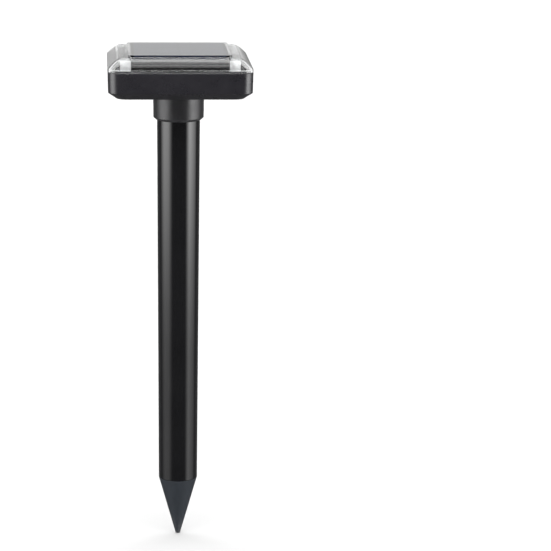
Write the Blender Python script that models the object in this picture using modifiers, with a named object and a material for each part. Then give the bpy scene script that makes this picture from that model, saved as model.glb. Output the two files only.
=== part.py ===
"""Solar stake pest repeller: a square solar head on a round hollow stake with a spike tip.

Frame: +Z up, origin at the middle of the blunt end of the spike, the front of the head faces -Y.
Lengths below are millimetres and are turned into metres by MM where the geometry is made.
"""
import math

import bmesh
import bpy
from mathutils import Matrix, Vector

MM = 0.001

# ------------------------------------------------------------------ driving dimensions (mm)
GAP = 0.3                 # clearance kept between neighbouring pieces

# spike tip
TIP_R = 1.6               # radius of the blunt end
SPIKE_H = 43.0            # length of the cone
SPIGOT_H = 22.0           # length of the spigot pressed into the tube

# stake tube, slightly tapered
TUBE_Z0 = SPIKE_H + GAP
TUBE_Z1 = 323.0
TUBE_R0 = 13.8            # outer radius at the lower end
TUBE_R1 = 15.1            # outer radius at the upper end
TUBE_WALL = 1.8

# collar under the head
COLLAR_Z0 = 304.6
COLLAR_R0 = 17.6
COLLAR_R1 = 17.8
COLLAR_CHAMFER_W = 2.0
COLLAR_CHAMFER_H = 1.7
COLLAR_BORE_R = 15.42
STOP_Z = TUBE_Z1 + GAP    # shoulder that rests on the end of the tube
SPIGOT_R = 16.0           # collar spigot through the floor of the base
SPIGOT_HOLE_R = 12.0
SPIGOT_TOP = 329.6

# head base
HEAD_W = 99.0
HEAD_HALF = HEAD_W / 2
HEAD_R = 8.0              # corner radius in plan
BASE_Z0 = 324.9           # underside
BASE_CHAMFER_Z = 329.4    # where the slanted lower edge ends
BASE_Z1 = 343.5           # rim
BASE_BOT_HALF = 43.45
BASE_MID_HALF = 49.2
BASE_WALL = 2.2
BASE_FLOOR = 2.2

# clear cover: upright foot, sloping shoulder, nearly flat top, raised window
COVER_Z0 = BASE_Z1 + GAP
COVER_Z1 = 345.6          # top of the upright foot
COVER_Z2 = 352.0          # outer edge of the top
COVER_Z3 = 354.0          # top of the window
COVER_SHOULDER = ((348.42, 46.87), (350.9, 43.9))   # (height, half width) up the slope
COVER_HALF2 = 42.0        # half width of the top
COVER_TOP = (352.86, 35.6)   # the top rises slightly to the foot of the window
COVER_HALF3 = 35.3
COVER_R3 = 2.5
COVER_WALL = 1.7
COVER_INSIDE = ((344.9, 47.8), (349.82, 42.88), (350.6, 41.5))   # hollow, one wall inside the slope
POST_R = 3.7
POST_XY = 37.3

# deck and panel
DECK_HALF = 46.9
DECK_Z0 = 342.0
DECK_Z1 = 343.5
DECK_BOX_HALF = 33.1
DECK_BOX_Z1 = 349.6
PANEL_HALF = 33.2
TAPE_Z = DECK_BOX_Z1 + GAP
TAPE_T = 0.5
PANEL_Z0 = TAPE_Z + TAPE_T + 0.15
PANEL_T = 1.65

# screws
SCREW_HEAD_R = 2.7
SCREW_SHAFT_R = 1.3
SCREW_SEAT_Z = 334.0
BOSS_R = 5.2
BOSS_TOP = DECK_Z0 - GAP

# power button under the head
BUTTON_X, BUTTON_Y = 27.0, -25.0
BUTTON_R = 4.2
BUTTON_PROUD = 1.6

# circuit board
BOARD_Z0, BOARD_T = 334.0, 1.6
BOARD_X, BOARD_Y0, BOARD_Y1 = 29.0, -36.0, 14.0

# battery
CELL_R, CELL_LEN = 7.15, 48.5
CELL_Y, CELL_Z = 27.0, 335.95

# sounder in the tube
SOUNDER_Z = 96.0

ROUND = 72                # steps round a large turned piece
SMALL = 24                # steps round a small turned piece

# ------------------------------------------------------------------ clean start
for old in list(bpy.data.objects):
    bpy.data.objects.remove(old, do_unlink=True)

scene = bpy.context.scene
parts = bpy.data.collections.new("pest_repeller_stake")
cutters = bpy.data.collections.new("cutters")
scene.collection.children.link(parts)
scene.collection.children.link(cutters)


def material(name, rgb, rough, metal=0.0):
    mat = bpy.data.materials.new(name)
    mat.use_nodes = True
    shader = mat.node_tree.nodes["Principled BSDF"]
    shader.inputs["Base Color"].default_value = (*rgb, 1.0)
    shader.inputs["Roughness"].default_value = rough
    shader.inputs["Metallic"].default_value = metal
    return mat


LOOK = {
    "base_black": ((0.028, 0.027, 0.031), 0.55, 0.0),
    "collar_black": ((0.026, 0.026, 0.030), 0.34, 0.0),
    "tube_black": ((0.010, 0.010, 0.011), 0.12, 0.0),
    "spike_grey": ((0.036, 0.040, 0.046), 0.62, 0.0),
    "clear": ((0.86, 0.87, 0.88), 0.05, 0.0),
    "cell_blue": ((0.012, 0.014, 0.030), 0.15, 0.0),
    "board_green": ((0.02, 0.12, 0.05), 0.45, 0.0),
    "chip_black": ((0.02, 0.02, 0.02), 0.5, 0.0),
    "copper": ((0.55, 0.24, 0.10), 0.35, 1.0),
    "can": ((0.10, 0.12, 0.20), 0.3, 0.0),
    "glass_red": ((0.35, 0.06, 0.03), 0.2, 0.0),
    "sleeve": ((0.06, 0.22, 0.09), 0.3, 0.0),
    "nickel": ((0.62, 0.61, 0.58), 0.28, 1.0),
    "zinc": ((0.50, 0.50, 0.50), 0.35, 1.0),
    "brass": ((0.68, 0.48, 0.16), 0.3, 1.0),
    "ceramic": ((0.75, 0.74, 0.70), 0.4, 0.0),
    "foam": ((0.05, 0.05, 0.05), 0.95, 0.0),
    "rubber": ((0.012, 0.012, 0.012), 0.8, 0.0),
    "wire_red": ((0.5, 0.02, 0.015), 0.45, 0.0),
    "wire_black": ((0.012, 0.012, 0.012), 0.45, 0.0),
    "inner_black": ((0.02, 0.02, 0.022), 0.5, 0.0),
}


def dress(obj, look):
    """Each piece has a material of its own, named after it."""
    rgb, rough, metal = LOOK[look]
    obj.data.materials.clear()
    obj.data.materials.append(material(obj.name + "_" + look, rgb, rough, metal))
    return obj


def shade(mesh, angle=math.radians(32)):
    mesh.shade_smooth()
    mesh.set_sharp_from_angle(angle=angle)


def add(name, bm, look=None, smooth=True):
    mesh = bpy.data.meshes.new(name)
    bmesh.ops.recalc_face_normals(bm, faces=bm.faces[:])
    bm.to_mesh(mesh)
    bm.free()
    obj = bpy.data.objects.new(name, mesh)
    if look is None:
        cutters.objects.link(obj)
        obj.hide_render = True
        obj.display_type = "WIRE"
    else:
        parts.objects.link(obj)
        dress(obj, look)
    if smooth:
        shade(mesh)
    return obj


# ------------------------------------------------------------------ modelling helpers
def block_bm(half_x, half_y, z0, z1, at=(0, 0), corner=0.0, seg=6, top=0.0, bottom=0.0, edge_seg=2):
    """A box with rounded upright corners and, if asked, rounded top or bottom edges."""
    bm = bmesh.new()
    bmesh.ops.create_cube(bm, size=1.0)
    size = Vector((2 * half_x, 2 * half_y, z1 - z0)) * MM
    bmesh.ops.scale(bm, vec=size, verts=bm.verts[:])
    if corner > 0:
        upright = [e for e in bm.edges if abs(e.verts[0].co.z - e.verts[1].co.z) > size.z * 0.5]
        bmesh.ops.bevel(bm, geom=upright, offset=corner * MM, segments=seg, profile=0.5, affect="EDGES")
    for amount, side in ((top, 1), (bottom, -1)):
        if amount > 0:
            level = side * size.z / 2
            rim = [e for e in bm.edges if all(abs(v.co.z - level) < 1e-6 for v in e.verts)]
            bmesh.ops.bevel(bm, geom=rim, offset=amount * MM, segments=edge_seg, profile=0.5, affect="EDGES")
    bmesh.ops.translate(bm, vec=Vector((at[0], at[1], (z0 + z1) / 2)) * MM, verts=bm.verts[:])
    return bm


def block(name, half_x, half_y, z0, z1, look=None, **kw):
    return add(name, block_bm(half_x, half_y, z0, z1, **kw), look)


def stacked(name, levels, corner, seg, look=None):
    """A rounded square carried through (z, half width) levels, bottom to top."""
    (z0, h0), (z1, h1) = levels[0], levels[1]
    bm = block_bm(h0, h0, z0, z1, corner=corner, seg=seg)
    ring = [v for v in bm.verts if abs(v.co.z - z1 * MM) < 1e-6]
    bmesh.ops.scale(bm, vec=Vector((h1 / h0, h1 / h0, 1)), verts=ring)
    half = h1
    for z, h in levels[2:]:
        face = max(bm.faces, key=lambda f: f.calc_center_median().z)
        grown = bmesh.ops.extrude_face_region(bm, geom=[face])["geom"]
        verts = [g for g in grown if isinstance(g, bmesh.types.BMVert)]
        bmesh.ops.delete(bm, geom=[face], context="FACES_ONLY") if face.is_valid else None
        for v in verts:
            v.co.z = z * MM
        bmesh.ops.scale(bm, vec=Vector((h / half, h / half, 1)), verts=verts)
        half = h
    return add(name, bm, look)


def turned(name, profile, steps=SMALL, look=None, at=(0, 0, 0), closed=True, axis="Z"):
    """A profile of (radius, height) points turned about the upright axis with a Screw modifier.

    The points run down the outer side, top to bottom. A profile that starts and ends on the
    axis is left open there; any other one is closed back to its first point.
    """
    bm = bmesh.new()
    verts = [bm.verts.new((r * MM, 0.0, z * MM)) for r, z in profile]
    pairs = list(zip(verts, verts[1:]))
    if closed:
        pairs.append((verts[-1], verts[0]))
    for a, b in pairs:
        bm.edges.new((a, b))
    mesh = bpy.data.meshes.new(name)
    bm.to_mesh(mesh)
    bm.free()
    obj = bpy.data.objects.new(name, mesh)
    obj.location = Vector(at) * MM
    if axis == "X":
        obj.rotation_euler = (0, math.radians(90), 0)
    if look is None:
        cutters.objects.link(obj)
        obj.hide_render = True
        obj.display_type = "WIRE"
    else:
        parts.objects.link(obj)
        dress(obj, look)
    turn = obj.modifiers.new("turn", "SCREW")
    turn.axis = "Z"
    turn.angle = math.radians(360)
    turn.steps = steps
    turn.render_steps = steps
    turn.use_merge_vertices = True
    turn.merge_threshold = 0.00002
    turn.use_smooth_shade = True
    return obj


def pin(name, r, z0, z1, look=None, steps=SMALL, at=(0, 0), edge=0.0):
    """A plain round pin, with chamfered ends if asked."""
    if edge > 0:
        profile = [(0, z1), (r - edge, z1), (r, z1 - edge), (r, z0 + edge), (r - edge, z0), (0, z0)]
    else:
        profile = [(0, z1), (r, z1), (r, z0), (0, z0)]
    return turned(name, profile, steps=steps, look=look, at=(at[0], at[1], 0), closed=False)


def tube_profile(r_out, r_in, z0, z1):
    return [(r_in, z1), (r_out, z1), (r_out, z0), (r_in, z0)]


def boolean(obj, other, how):
    mod = obj.modifiers.new(how.lower() + "_" + other.name, "BOOLEAN")
    mod.operation = how
    mod.solver = "EXACT"
    mod.object = other
    return mod


def cut(obj, *tools):
    for tool in tools:
        boolean(obj, tool, "DIFFERENCE")
    return obj


def join(obj, *tools):
    for tool in tools:
        boolean(obj, tool, "UNION")
    return obj


def smooth_path(points, per_span=5):
    """Points on a Catmull-Rom curve through the given points."""
    pts = [Vector(p) for p in points]
    pts = [pts[0] * 2 - pts[1]] + pts + [pts[-1] * 2 - pts[-2]]
    out = []
    for i in range(1, len(pts) - 2):
        a, b, c, d = pts[i - 1], pts[i], pts[i + 1], pts[i + 2]
        for k in range(per_span):
            t = k / per_span
            out.append(0.5 * ((2 * b) + (c - a) * t + (2 * a - 5 * b + 4 * c - d) * t * t
                              + (3 * b - a - 3 * c + d) * t ** 3))
    out.append(pts[-2])
    return out


def wire(name, points, radius, look, per_span=5, sides=2):
    """A round wire along a smooth route."""
    path = smooth_path(points, per_span) if per_span > 1 else [Vector(p) for p in points]
    curve = bpy.data.curves.new(name, "CURVE")
    curve.dimensions = "3D"
    curve.bevel_depth = radius * MM
    curve.bevel_resolution = sides
    curve.render_resolution_u = 0
    curve.use_fill_caps = True
    spline = curve.splines.new("POLY")
    spline.points.add(len(path) - 1)
    for spot, p in zip(spline.points, path):
        spot.co = (p.x * MM, p.y * MM, p.z * MM, 1.0)
    obj = bpy.data.objects.new(name, curve)
    parts.objects.link(obj)
    dress(obj, look)
    return obj


def tube_radius(z):
    return TUBE_R0 + (TUBE_R1 - TUBE_R0) * (z - TUBE_Z0) / (TUBE_Z1 - TUBE_Z0)


# ================================================================== the stake
# long hollow tube, with a small chamfer at each end
t0, t1 = TUBE_R0, TUBE_R1
stake_tube = turned("stake_tube", [
    (t1 - TUBE_WALL, TUBE_Z1), (t1 - 0.5, TUBE_Z1), (t1, TUBE_Z1 - 0.5),
    (t0, TUBE_Z0 + 0.15), (t0 - 0.15, TUBE_Z0), (t0 - TUBE_WALL, TUBE_Z0)], steps=ROUND, look="tube_black")

# spike: a hollow moulded cone with a spigot that is pressed into the tube
spigot_r = TUBE_R0 - TUBE_WALL - GAP
spike_tip = turned("spike_tip", [
    (0.0, 12.5), (3.2, 15.0), (spigot_r - 2.4, SPIKE_H - 2.0), (spigot_r - 2.0, SPIKE_H + SPIGOT_H),
    (spigot_r - 0.6, SPIKE_H + SPIGOT_H), (spigot_r, SPIKE_H + SPIGOT_H - 0.9),
    (spigot_r, SPIKE_H + 0.1), (TUBE_R0 - 0.25, SPIKE_H), (TUBE_R0, SPIKE_H - 0.25),
    (TIP_R + 0.22, 0.35), (TIP_R, 0.0), (0.0, 0.0)], steps=ROUND, look="spike_grey", closed=False)

# lid in the upper end of the tube, with the socket that feeds the sounder
cap_r = TUBE_R1 - TUBE_WALL - GAP - 0.06
tube_top_cap = turned("tube_top_cap", [
    (5.35, 322.7), (cap_r - 0.4, 322.7), (cap_r, 322.3), (cap_r, 312.5), (cap_r - 1.5, 312.5),
    (cap_r - 1.5, 320.5), (5.35, 320.5)], steps=32, look="inner_black")
jack_socket = turned("jack_socket", [
    (3.1, 324.0), (7.0, 324.0), (7.0, 323.0), (5.0, 323.0), (5.0, 309.5), (1.1, 309.5),
    (1.1, 311.5), (3.1, 311.5)], steps=SMALL, look="inner_black")
jack_centre_pin = pin("jack_centre_pin", 0.75, 307.5, 320.0, look="nickel", steps=16, edge=0.2)

# sounder: cup, brass disc, ceramic wafer, foam ring
cup_r = tube_radius(SOUNDER_Z) - TUBE_WALL - GAP - 0.05
sounder_cup = turned("sounder_cup", [
    (cup_r - 1.4, SOUNDER_Z + 13.0), (cup_r, SOUNDER_Z + 13.0), (cup_r, SOUNDER_Z),
    (3.0, SOUNDER_Z), (3.0, SOUNDER_Z + 1.5), (cup_r - 3.2, SOUNDER_Z + 1.5),
    (cup_r - 3.2, SOUNDER_Z + 5.0), (cup_r - 1.4, SOUNDER_Z + 5.0)], steps=32, look="inner_black")
disc_r = cup_r - 1.4 - GAP
sounder_disc = pin("sounder_disc", disc_r, SOUNDER_Z + 5.3, SOUNDER_Z + 5.8, look="brass", steps=32)
piezo_wafer = pin("piezo_wafer", 6.6, SOUNDER_Z + 6.1, SOUNDER_Z + 6.5, look="ceramic", steps=28)
sounder_foam = turned("sounder_foam", tube_profile(disc_r, 7.4, SOUNDER_Z + 6.1, SOUNDER_Z + 11.0),
                      steps=28, look="foam")


def sounder_lead(name, side, end, look):
    """A lead from a socket lug down the tube to the sounder, slack in the tube."""
    x0 = side * 3.1
    pts = [(x0, 0.0, 309.2), (x0, 0.3, 302.0), (side * 3.6, 2.0, 275.0), (side * 2.8, -1.6, 240.0),
           (side * 4.2, 1.5, 205.0), (side * 3.0, -1.2, 170.0), (side * 3.8, 1.2, 135.0),
           (end[0], end[1], 112.0), end]
    return wire(name, pts, 0.65, look, per_span=3)


sounder_lead_red = sounder_lead("sounder_lead_red", 1, (2.6, 0.0, SOUNDER_Z + 6.8), "wire_red")
sounder_lead_black = sounder_lead("sounder_lead_black", -1, (-2.6, 0.0, SOUNDER_Z + 6.8), "wire_black")

# ================================================================== the head
# lower housing: a square tray with a slanted lower edge
head_base = stacked("head_base", [
    (BASE_Z0, BASE_BOT_HALF), (BASE_CHAMFER_Z, BASE_MID_HALF), (BASE_Z1, HEAD_HALF)],
    corner=HEAD_R - 0.9, seg=6, look="base_black")
inside = stacked("base_inside", [
    (BASE_Z0 + BASE_FLOOR, BASE_BOT_HALF - 1.2), (BASE_CHAMFER_Z + 0.6, BASE_MID_HALF - BASE_WALL),
    (BASE_Z1 + 1.0, HEAD_HALF - BASE_WALL)], corner=HEAD_R - 2.6, seg=5)
cut(head_base, inside)
for i, (sx, sy) in enumerate(((1, -1), (1, 1), (-1, 1), (-1, -1))):
    spot = (sx * POST_XY, sy * POST_XY)
    boss = pin(f"boss_{i}", BOSS_R, BASE_Z0 + 1.0, BOSS_TOP, at=spot, steps=24)
    join(head_base, boss)
for i, (sx, sy) in enumerate(((1, -1), (1, 1), (-1, 1), (-1, -1))):
    spot = (sx * POST_XY, sy * POST_XY)
    shaft_hole = pin(f"shaft_hole_{i}", SCREW_SHAFT_R + 0.35, BASE_Z0 - 2.0, BOSS_TOP + 1.0, at=spot, steps=16)
    head_hole = pin(f"head_hole_{i}", SCREW_HEAD_R + 0.5, BASE_Z0 - 2.0, SCREW_SEAT_Z, at=spot, steps=24)
    cut(head_base, shaft_hole, head_hole)
collar_hole = pin("collar_hole", SPIGOT_R + GAP, BASE_Z0 - 3.0, BASE_Z0 + 8.0, steps=64)
button_hole = pin("button_hole", BUTTON_R + 0.35, BASE_Z0 - 3.0, BASE_Z0 + 6.0,
                  at=(BUTTON_X, BUTTON_Y), steps=SMALL)
cut(head_base, collar_hole, button_hole)

# collar that slips over the top of the stake
neck_collar = turned("neck_collar", [
    (SPIGOT_HOLE_R, SPIGOT_TOP), (SPIGOT_R, SPIGOT_TOP), (SPIGOT_R, BASE_Z0 - GAP),
    (COLLAR_R1, BASE_Z0 - GAP), (COLLAR_R0, COLLAR_Z0 + COLLAR_CHAMFER_H),
    (COLLAR_R0 - COLLAR_CHAMFER_W, COLLAR_Z0), (COLLAR_BORE_R, COLLAR_Z0),
    (COLLAR_BORE_R, STOP_Z), (SPIGOT_HOLE_R, STOP_Z)], steps=ROUND, look="collar_black")

# deck: closes the tray and carries the panel on a raised box
deck_plate = block("panel_deck", DECK_HALF, DECK_HALF, DECK_Z0, DECK_Z1, look="inner_black",
                   corner=HEAD_R - 2.4, seg=5)
deck_box = block("deck_box", DECK_BOX_HALF, DECK_BOX_HALF, DECK_Z0 + 0.5, DECK_BOX_Z1,
                 corner=1.5, seg=3)
join(deck_plate, deck_box)
deck_hollow = block("deck_hollow", DECK_BOX_HALF - 1.6, DECK_BOX_HALF - 1.6, DECK_Z0 - 1.0,
                    DECK_BOX_Z1 - 1.6, corner=1.0, seg=2)
cut(deck_plate, deck_hollow)
for i, (sx, sy) in enumerate(((1, -1), (1, 1), (-1, 1), (-1, -1))):
    hole = pin(f"deck_hole_{i}", POST_R + 0.4, DECK_Z0 - 1.0, DECK_Z1 + 1.0,
               at=(sx * POST_XY, sy * POST_XY), steps=24)
    cut(deck_plate, hole)
wire_hole = pin("wire_hole", 3.2, DECK_BOX_Z1 - 4.0, DECK_BOX_Z1 + 1.0, at=(0, -20.0), steps=20)
cut(deck_plate, wire_hole)

# foam tape frame and the solar panel laminate on it
panel_tape = block("panel_tape", PANEL_HALF - 0.6, PANEL_HALF - 0.6, TAPE_Z, TAPE_Z + TAPE_T, look="foam")
tape_hole = block("tape_hole", PANEL_HALF - 6.0, PANEL_HALF - 6.0, TAPE_Z - 1.0, TAPE_Z + TAPE_T + 1.0)
cut(panel_tape, tape_hole)
solar_panel = block("solar_panel", PANEL_HALF, PANEL_HALF, PANEL_Z0, PANEL_Z0 + PANEL_T,
                    look="cell_blue", corner=0.8, seg=2, top=0.25, edge_seg=1)

# clear cover with a sloping shoulder, a raised window and four screw posts
clear_cover = stacked("clear_cover", [(COVER_Z0, HEAD_HALF), (COVER_Z1, HEAD_HALF), *COVER_SHOULDER,
                                      (COVER_Z2, COVER_HALF2), COVER_TOP], corner=HEAD_R, seg=6, look="clear")
window = block("cover_window", COVER_HALF3, COVER_HALF3, COVER_Z0 + 1.0, COVER_Z3,
               corner=COVER_R3, seg=3, top=0.25, edge_seg=1)
join(clear_cover, window)
w = COVER_WALL
inside = stacked("cover_inside", [(COVER_Z0 - 1.0, HEAD_HALF - w), *COVER_INSIDE], corner=HEAD_R - w, seg=6)
recess = block("cover_recess", COVER_HALF3 - w, COVER_HALF3 - w, COVER_Z0 - 1.0, COVER_Z3 - 1.5,
               corner=COVER_R3 - w, seg=2)
cut(clear_cover, inside, recess)
for i, (sx, sy) in enumerate(((1, -1), (1, 1), (-1, 1), (-1, -1))):
    post = pin(f"post_{i}", POST_R, DECK_Z0, COVER_Z2 - 1.0, at=(sx * POST_XY, sy * POST_XY), steps=28)
    join(clear_cover, post)
for i, (sx, sy) in enumerate(((1, -1), (1, 1), (-1, 1), (-1, -1))):
    bore = pin(f"post_bore_{i}", SCREW_SHAFT_R + 0.32, DECK_Z0 - 1.0, 347.4,
               at=(sx * POST_XY, sy * POST_XY), steps=16)
    cut(clear_cover, bore)

# square seal inside the foot of the cover
seal_half = HEAD_HALF - COVER_WALL - 0.35
cover_seal = block("cover_seal", seal_half, seal_half, DECK_Z1 + GAP, DECK_Z1 + GAP + 1.0,
                   look="rubber", corner=HEAD_R - COVER_WALL - 0.35, seg=5)
seal_inside = block("seal_inside", seal_half - 1.6, seal_half - 1.6, DECK_Z1 - 1.0, COVER_Z1,
                    corner=HEAD_R - COVER_WALL - 1.9, seg=5)
cut(cover_seal, seal_inside)

# four screws driven up through the bosses into the posts
for i, (sx, sy) in enumerate(((1, -1), (1, 1), (-1, 1), (-1, -1)), start=1):
    x, y = sx * POST_XY, sy * POST_XY
    seat = SCREW_SEAT_Z - GAP
    screw = turned(f"cover_screw_{i}", [
        (0, seat + 12.0), (0.5, seat + 12.0), (SCREW_SHAFT_R, seat + 10.6), (SCREW_SHAFT_R, seat),
        (SCREW_HEAD_R, seat), (SCREW_HEAD_R, seat - 0.8), (SCREW_HEAD_R - 0.7, seat - 1.9),
        (0, seat - 2.1)], steps=20, look="zinc", at=(x, y, 0), closed=False)
    for k, (a, b) in enumerate(((1.6, 0.3), (0.3, 1.6))):
        slot = block(f"cross_{i}_{k}", a, b, seat - 3.0, seat - 1.0, at=(x, y))
        cut(screw, slot)

# plug on the underside of the head, reaching down into the socket of the stake
jack_plug_body = turned("jack_plug_body", [
    (3.0, 331.4), (14.5, 331.4), (14.5, SPIGOT_TOP + GAP), (6.0, SPIGOT_TOP + GAP), (6.0, 325.0),
    (5.4, 324.4), (3.0, 324.4)], steps=32, look="inner_black")
jack_plug_barrel = turned("jack_plug_barrel", [
    (1.3, 330.6), (2.7, 330.6), (2.7, 314.6), (2.4, 314.2), (1.3, 314.2)], steps=20, look="nickel")

# circuit board with its parts
circuit_board = block("circuit_board", BOARD_X, (BOARD_Y1 - BOARD_Y0) / 2, BOARD_Z0, BOARD_Z0 + BOARD_T,
                      look="board_green", at=(0, (BOARD_Y0 + BOARD_Y1) / 2), corner=1.5, seg=2)
top = BOARD_Z0 + BOARD_T + GAP
driver_chip = block("driver_chip", 5.0, 3.1, top, top + 1.8, look="chip_black", at=(-6.0, -22.0),
                    top=0.3, edge_seg=1)
boost_coil = turned("boost_coil", [
    (0, top + 5.5), (3.9, top + 5.5), (3.9, top + 4.6), (3.3, top + 4.4), (3.3, top + 1.2),
    (3.9, top + 1.0), (3.9, top), (0, top)], steps=22, look="copper", at=(14.0, -24.0, 0), closed=False)
storage_capacitor = turned("storage_capacitor", [
    (0, top + 5.7), (2.6, top + 5.7), (3.1, top + 5.3), (3.1, top + 1.0), (2.8, top + 0.7),
    (3.1, top + 0.4), (3.1, top), (0, top)], steps=22, look="can", at=(-20.0, -22.0, 0), closed=False)
charge_diode = turned("charge_diode", [
    (0, 2.6), (1.0, 2.6), (1.3, 2.3), (1.3, -2.3), (1.0, -2.6), (0, -2.6)], steps=16, look="glass_red",
    at=(3.0, -31.0, top + 1.4), closed=False, axis="X")

# push switch under the board
switch_body = block("switch_body", 4.0, 4.0, BOARD_Z0 - GAP - 3.2, BOARD_Z0 - GAP, look="chip_black",
                    at=(BUTTON_X, BUTTON_Y))
plunger_bore = pin("plunger_bore", 1.9, BOARD_Z0 - GAP - 5.0, BOARD_Z0 - GAP - 1.0,
                   at=(BUTTON_X, BUTTON_Y), steps=20)
cut(switch_body, plunger_bore)

# battery: tray, cell and its two contacts
holder_x = CELL_LEN / 2 + 5.2
tray_z0 = BASE_Z0 + BASE_FLOOR + GAP
battery_holder = block("battery_holder", holder_x, 9.0, tray_z0, CELL_Z + 1.0, look="inner_black",
                       at=(0, CELL_Y))
tray_hollow = block("tray_hollow", holder_x - 1.4, 7.6, tray_z0 + 0.6, CELL_Z + 3.0, at=(0, CELL_Y))
cut(battery_holder, tray_hollow)
battery_cell = turned("battery_cell", [
    (0, CELL_LEN / 2 + 1.0), (2.6, CELL_LEN / 2 + 1.0), (2.6, CELL_LEN / 2), (CELL_R - 0.6, CELL_LEN / 2),
    (CELL_R, CELL_LEN / 2 - 0.6), (CELL_R, -CELL_LEN / 2 + 0.6), (CELL_R - 0.6, -CELL_LEN / 2),
    (0, -CELL_LEN / 2)], steps=32, look="sleeve", at=(0, CELL_Y, CELL_Z), closed=False, axis="X")
battery_contact = block("battery_contact", 0.2, 4.5, CELL_Z - 4.5, CELL_Z + 3.0, look="nickel",
                        at=(CELL_LEN / 2 + 1.0 + 1.2, CELL_Y))
coil = []
turns, coil_steps = 3.5, 11
x_far, x_near = -(holder_x - 1.4) + 0.8, -(CELL_LEN / 2) - 0.75
for k in range(int(turns * coil_steps) + 1):
    t = k / (turns * coil_steps)
    a = 2 * math.pi * turns * t
    r = 4.2 - 2.0 * t
    coil.append((x_far + (x_near - x_far) * t, CELL_Y + r * math.cos(a), CELL_Z + r * math.sin(a)))
battery_spring = wire("battery_spring", coil, 0.32, "nickel", per_span=1, sides=1)

# leads from the panel, through the deck, to the board
panel_lead_red = wire("panel_lead_red", [
    (1.1, -20.0, PANEL_Z0 - 0.95), (1.1, -20.0, 346.0), (3.2, -15.0, 341.0),
    (5.2, -10.0, 338.2), (6.0, -8.0, top + 0.75)], 0.6, "wire_red", per_span=4)
panel_lead_black = wire("panel_lead_black", [
    (-1.1, -20.0, PANEL_Z0 - 0.95), (-1.1, -20.0, 346.0), (-3.2, -15.0, 341.0),
    (-5.2, -10.0, 338.2), (-6.0, -8.0, top + 0.75)], 0.6, "wire_black", per_span=4)

# leads from the battery contacts and the plug to the board
board_under = BOARD_Z0 - 0.95
battery_lead_red = wire("battery_lead_red", [
    (holder_x + 1.0, CELL_Y - 6.0, CELL_Z + 1.0), (holder_x + 1.2, 17.0, 336.5), (24.0, 13.2, 337.4),
    (22.0, 8.0, top + 0.75)], 0.6, "wire_red", per_span=3)
battery_lead_black = wire("battery_lead_black", [
    (-holder_x - 1.0, CELL_Y - 6.0, CELL_Z + 1.0), (-holder_x - 1.2, 17.0, 336.5), (-24.0, 13.2, 337.4),
    (-22.0, 8.0, top + 0.75)], 0.6, "wire_black", per_span=3)
jack_lead_red = wire("jack_lead_red", [
    (8.0, -3.0, 332.3), (11.0, -9.0, 332.4), (17.6, -12.0, 332.0), (22.0, -8.0, 332.4),
    (22.0, -4.0, board_under)], 0.55, "wire_red", per_span=3)
jack_lead_black = wire("jack_lead_black", [
    (-8.0, -3.0, 332.3), (-11.0, -9.0, 332.4), (-17.6, -12.0, 332.0), (-22.0, -8.0, 332.4),
    (-22.0, -4.0, board_under)], 0.55, "wire_black", per_span=3)

# ================================================================== the power button
power_button = turned("power_button", [
    (0, 330.2), (1.5, 330.2), (1.5, 329.0), (5.4, 329.0), (5.4, 328.0), (BUTTON_R, 327.9),
    (BUTTON_R, BASE_Z0 - BUTTON_PROUD + 0.6), (BUTTON_R - 0.6, BASE_Z0 - BUTTON_PROUD),
    (0, BASE_Z0 - BUTTON_PROUD)], steps=SMALL, look="rubber", at=(BUTTON_X, BUTTON_Y, 0), closed=False)
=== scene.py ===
"""Looks of the solar stake pest repeller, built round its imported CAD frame."""
import math

import bmesh
import bpy
from mathutils import Matrix, Vector


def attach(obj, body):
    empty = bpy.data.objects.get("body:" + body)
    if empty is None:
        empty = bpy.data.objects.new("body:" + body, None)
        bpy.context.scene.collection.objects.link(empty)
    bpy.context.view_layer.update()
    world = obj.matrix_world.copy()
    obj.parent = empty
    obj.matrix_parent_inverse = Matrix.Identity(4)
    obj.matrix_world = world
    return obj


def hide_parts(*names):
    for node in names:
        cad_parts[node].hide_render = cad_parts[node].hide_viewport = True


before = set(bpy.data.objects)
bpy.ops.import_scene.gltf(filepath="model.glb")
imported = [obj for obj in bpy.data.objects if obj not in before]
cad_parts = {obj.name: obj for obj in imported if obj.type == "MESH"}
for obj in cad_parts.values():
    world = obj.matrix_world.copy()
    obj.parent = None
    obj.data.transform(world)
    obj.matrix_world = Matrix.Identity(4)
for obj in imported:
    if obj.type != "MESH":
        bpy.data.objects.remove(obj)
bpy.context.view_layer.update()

MM = 0.001
scene = bpy.context.scene
pieces = bpy.data.collections.new("pieces")
scene.collection.children.link(pieces)


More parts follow.
